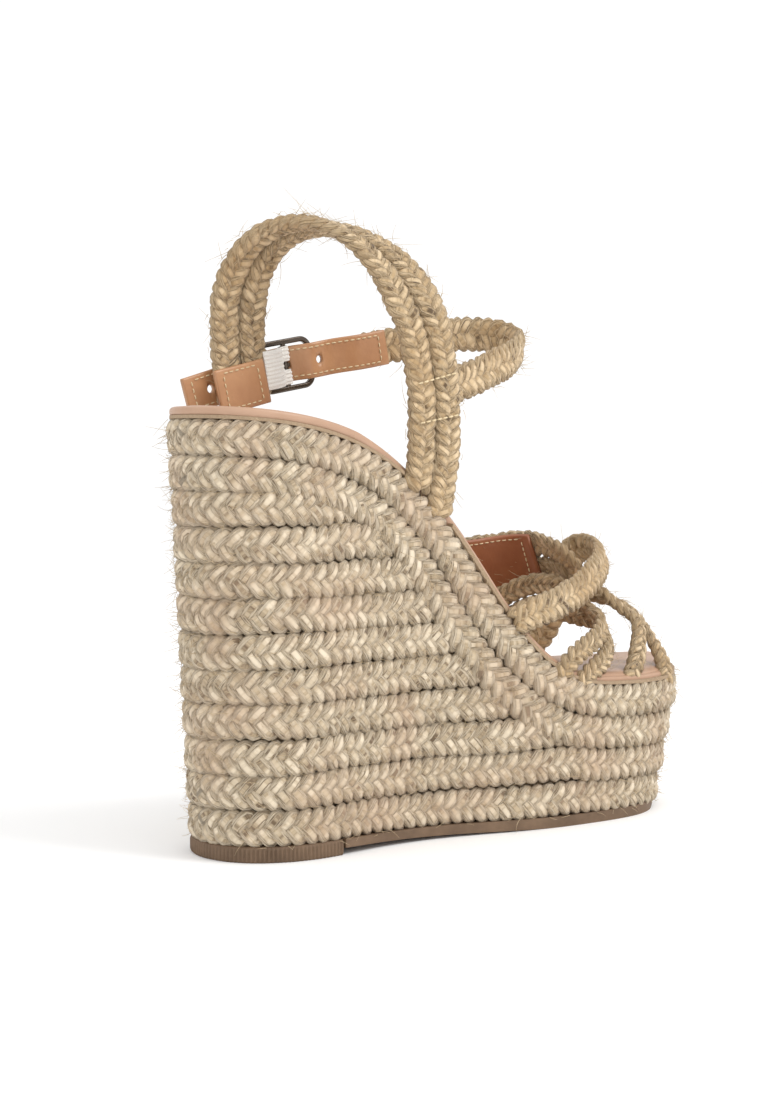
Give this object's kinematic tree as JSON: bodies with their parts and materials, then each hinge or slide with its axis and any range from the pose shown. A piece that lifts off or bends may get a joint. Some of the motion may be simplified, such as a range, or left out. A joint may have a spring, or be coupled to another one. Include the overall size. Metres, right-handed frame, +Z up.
{
  "type": "wedge sandal",
  "caption": "High wedge platform sandal with stacked plaited jute braids, criss-cross braided vamp straps, a braided heel strap and a buckled ankle strap.",
  "frame": {"origin": "middle of the heel lift, on its tread, where the heel stands on the floor", "axes": "+X from heel to toe, +Y to the outer side of the foot, +Z up"},
  "size_m": [0.2275, 0.0794, 0.2217],
  "materials": {
    "wedge_jute": "natural pale jute, coarse plaited braid, matt and fibrous",
    "strap_jute": "golden tan jute, coarse plaited braid, matt and fibrous",
    "sole_rubber": "brown rubber, finely ribbed edge",
    "wedge_core": "light cork",
    "insole_board": "fibre board",
    "insole_foam": "soft foam",
    "insole_leather": "smooth nude leather, soft sheen",
    "lining_leather": "smooth dark brown leather",
    "strap_leather": "smooth tan leather with pale edge stitching",
    "elastic": "ribbed off-white elastic",
    "buckle_metal": "polished dark metal"
  },
  "bodies": {
    "sole_and_vamp": {"base_braid_01": "wedge_jute", "base_braid_02": "wedge_jute", "heel_lift": "sole_rubber", "insole_binding": "insole_leather", "insole_board": "insole_board", "insole_foam": "insole_foam", "outsole": "sole_rubber", "side_braid_03": "wedge_jute", "side_braid_04": "wedge_jute", "side_braid_05": "wedge_jute", "side_braid_06": "wedge_jute", "side_braid_07": "wedge_jute", "side_braid_08": "wedge_jute", "side_braid_09": "wedge_jute", "side_braid_10": "wedge_jute", "sock_lining": "insole_leather", "trim_braid_lower": "wedge_jute", "trim_braid_upper": "wedge_jute", "vamp_inner_rear_strap_braid": "strap_jute", "vamp_lining_patch": "lining_leather", "vamp_middle_strap_braid_a": "strap_jute", "vamp_middle_strap_braid_b": "strap_jute", "vamp_outer_rear_strap_braid_a": "strap_jute", "vamp_outer_rear_strap_braid_b": "strap_jute", "wedge_core": "wedge_core"},
    "ankle_loop": {"ankle_billet": "strap_leather", "ankle_strap_braid": "strap_jute", "buckle_frame": "buckle_metal", "elastic_loop": "elastic", "heel_strap_braid_a": "strap_jute", "heel_strap_braid_b": "strap_jute", "heel_strap_tab": "strap_leather"},
    "prong": {"buckle_prong": "buckle_metal"}
  },
  "joints": [
    {"name": "ankle_loop_lean", "type": "hinge", "parent": "sole_and_vamp", "child": "ankle_loop", "pos_m": [0.058, -0.0285, 0.111], "axis": [1, 0, 0], "range_deg": [0, 35]},
    {"name": "prong_turn", "type": "hinge", "parent": "ankle_loop", "child": "prong", "pos_m": [0.037, 0.031, 0.1699], "axis": [-0.1771, 0, 0.9842], "range_deg": [0, 25]}
  ]
}
